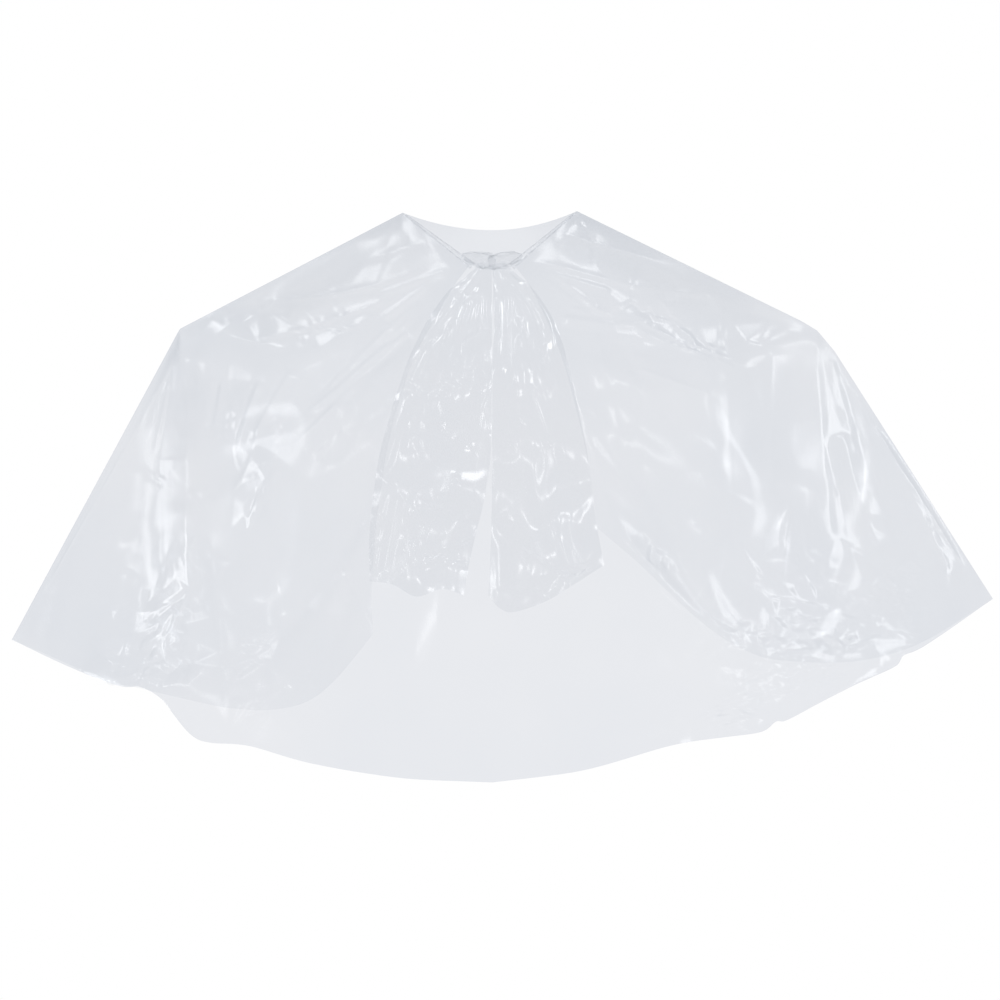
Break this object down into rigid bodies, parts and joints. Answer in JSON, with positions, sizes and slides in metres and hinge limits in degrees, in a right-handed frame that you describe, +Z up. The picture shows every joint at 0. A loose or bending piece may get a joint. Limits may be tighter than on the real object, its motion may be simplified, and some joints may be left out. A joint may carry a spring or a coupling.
{
  "type": "disposable barber cape",
  "caption": "Short clear film cape for the salon, draped over the shoulders and knotted at the throat, with two loose tie tails and side flaps that lift with the arms.",
  "frame": {"origin": "centre of the neck opening, level with the neck corners of the shoulder folds", "axes": "+Z up, the wearer faces -Y, and +X runs across the shoulders to the wearer's left"},
  "size_m": [0.6212, 0.238, 0.3727],
  "materials": {
    "film": "clear glossy polyethylene film",
    "tie_film": "clear glossy polyethylene film, gathered"
  },
  "bodies": {
    "root": {"left_back_panel": "film", "right_back_panel": "film", "left_front_panel": "film", "right_front_panel": "film", "left_tie_strip": "tie_film", "right_tie_strip": "tie_film", "left_knot_turn": "tie_film", "right_knot_turn": "tie_film"},
    "left_flap": {"left_flap_back": "film", "left_flap_front": "film"},
    "right_flap": {"right_flap_back": "film", "right_flap_front": "film"},
    "left_tail": {"left_tie_tail": "tie_film"},
    "right_tail": {"right_tie_tail": "tie_film"}
  },
  "joints": [
    {"name": "left_flap_lift", "type": "hinge", "parent": "root", "child": "left_flap", "pos_m": [-0.199, 0.008, -0.074], "axis": [0, 1, 0], "range_deg": [0, 35]},
    {"name": "right_flap_lift", "type": "hinge", "parent": "root", "child": "right_flap", "pos_m": [0.207, 0.008, -0.075], "axis": [0, -1, 0], "range_deg": [0, 35]},
    {"name": "left_tail_swing", "type": "hinge", "parent": "root", "child": "left_tail", "pos_m": [-0.008, -0.069, -0.043], "axis": [-1, 0, 0], "range_deg": [0, 60]},
    {"name": "right_tail_swing", "type": "hinge", "parent": "root", "child": "right_tail", "pos_m": [0.008, -0.069, -0.043], "axis": [-1, 0, 0], "range_deg": [0, 60]}
  ]
}
